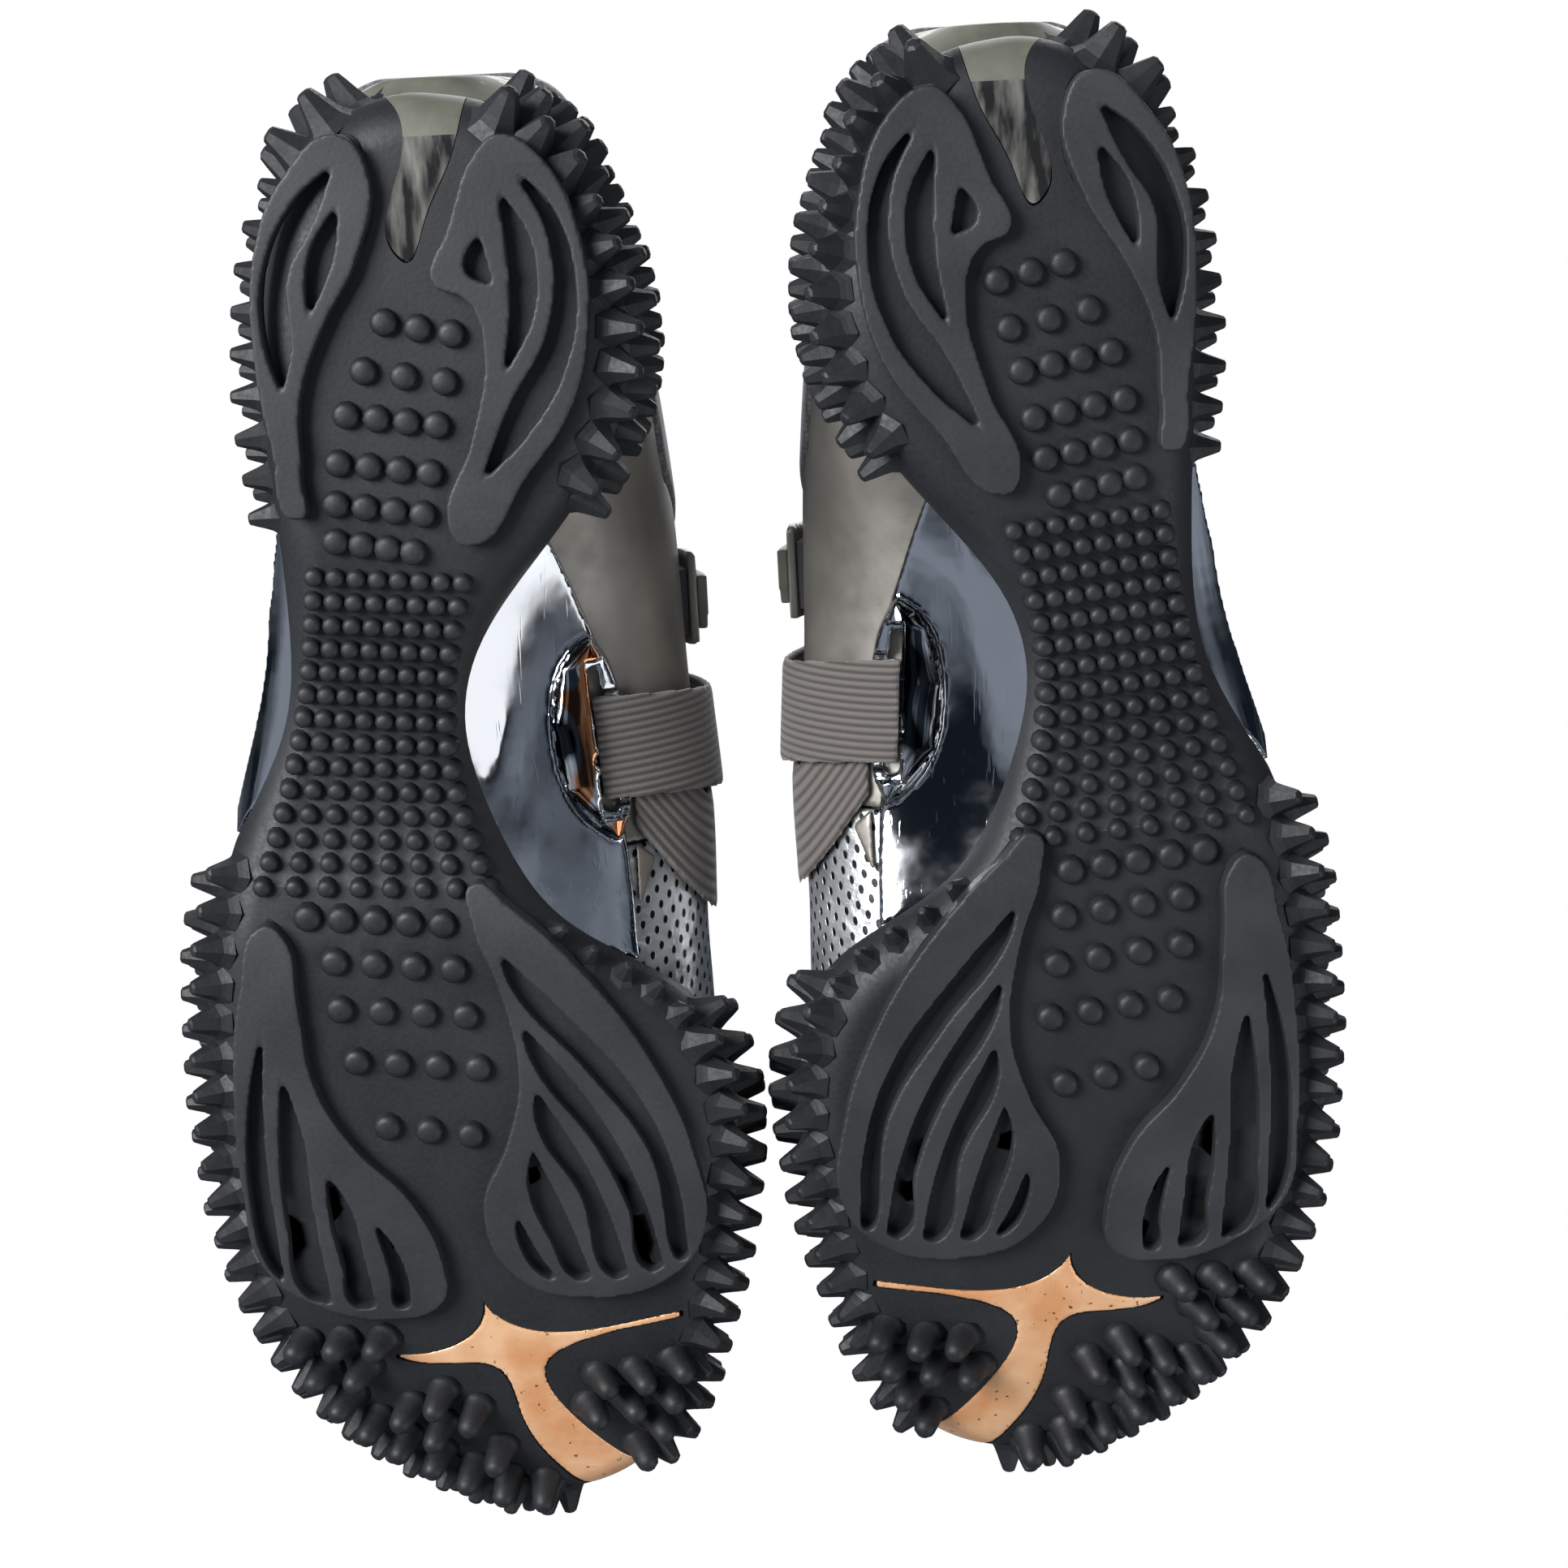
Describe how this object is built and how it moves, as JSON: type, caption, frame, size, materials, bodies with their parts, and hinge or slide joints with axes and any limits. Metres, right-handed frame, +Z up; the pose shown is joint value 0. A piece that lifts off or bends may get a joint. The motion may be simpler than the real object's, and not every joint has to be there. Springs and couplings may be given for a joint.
{
  "type": "studded strap shoes",
  "caption": "Pair of low strap shoes with a lugged, spiked rubber outsole for grip on ice and snow, plated shank and toe window.",
  "frame": {"origin": "on the floor, in the middle of the pair's outer box", "axes": "+Y from the heels to the toes, +Z up, +X from the left shoe to the right shoe"},
  "size_m": [0.2326, 0.3028, 0.1037],
  "materials": {
    "rubber": "matt black moulded rubber",
    "copper_plate": "copper coloured plated plastic, slightly scratched",
    "clear_plastic": "silvered clear plastic",
    "chrome_plastic": "chrome plated plastic, scratched",
    "midsole_foam": "moulded foam",
    "board": "fibreboard",
    "lining_fabric": "knitted lining",
    "olive_rubber": "grey-olive soft rubber",
    "silver_leather": "silver coated leather",
    "perforated_leather": "silver coated leather with small holes",
    "collar_fabric": "padded grey fabric",
    "elastic_webbing": "ribbed grey elastic",
    "hook_fabric": "hook fastener"
  },
  "bodies": {
    "left_shoe": {"left_outsole": "rubber", "left_toe_plate": "copper_plate", "left_heel_window": "clear_plastic", "left_heel_studs": "rubber", "left_forefoot_studs": "rubber", "left_heel_midsole": "midsole_foam", "left_forefoot_midsole": "midsole_foam", "left_shank_plate": "chrome_plastic", "left_insole_board": "board", "left_sock_liner": "lining_fabric", "left_lining": "lining_fabric", "left_heel_stiffener": "board", "left_toe_puff": "board", "left_heel_clip": "olive_rubber", "left_inner_quarter": "silver_leather", "left_outer_quarter": "silver_leather", "left_vamp": "perforated_leather", "left_collar": "collar_fabric", "left_tongue": "collar_fabric", "left_instep_band": "elastic_webbing", "left_vamp_band": "elastic_webbing", "left_band_anchor": "silver_leather", "left_strap_anchor": "silver_leather", "left_hook_patch": "hook_fabric", "left_vamp_tab": "silver_leather"},
    "left_strap": {"left_ankle_strap": "silver_leather", "left_strap_tip": "olive_rubber"},
    "right_shoe": {"right_outsole": "rubber", "right_toe_plate": "copper_plate", "right_heel_window": "clear_plastic", "right_heel_studs": "rubber", "right_forefoot_studs": "rubber", "right_heel_midsole": "midsole_foam", "right_forefoot_midsole": "midsole_foam", "right_shank_plate": "chrome_plastic", "right_insole_board": "board", "right_sock_liner": "lining_fabric", "right_lining": "lining_fabric", "right_heel_stiffener": "board", "right_toe_puff": "board", "right_heel_clip": "olive_rubber", "right_inner_quarter": "silver_leather", "right_outer_quarter": "silver_leather", "right_vamp": "perforated_leather", "right_collar": "collar_fabric", "right_tongue": "collar_fabric", "right_instep_band": "elastic_webbing", "right_vamp_band": "elastic_webbing", "right_band_anchor": "silver_leather", "right_strap_anchor": "silver_leather", "right_hook_patch": "hook_fabric", "right_vamp_tab": "silver_leather"},
    "right_strap": {"right_ankle_strap": "silver_leather", "right_strap_tip": "olive_rubber"}
  },
  "joints": [
    {"name": "pair_spacing", "type": "slide", "parent": "left_shoe", "child": "right_shoe", "axis": [1, 0, 0], "range_m": [0, 0.12]},
    {"name": "left_strap_fold", "type": "hinge", "parent": "left_shoe", "child": "left_strap", "pos_m": [-0.0969, -0.03975, 0.058], "axis": [0.1629, -0.9866, 0], "range_deg": [0, 100]},
    {"name": "right_strap_fold", "type": "hinge", "parent": "right_shoe", "child": "right_strap", "pos_m": [0.0969, -0.04425, 0.058], "axis": [0.1629, 0.9866, 0], "range_deg": [0, 100]}
  ]
}
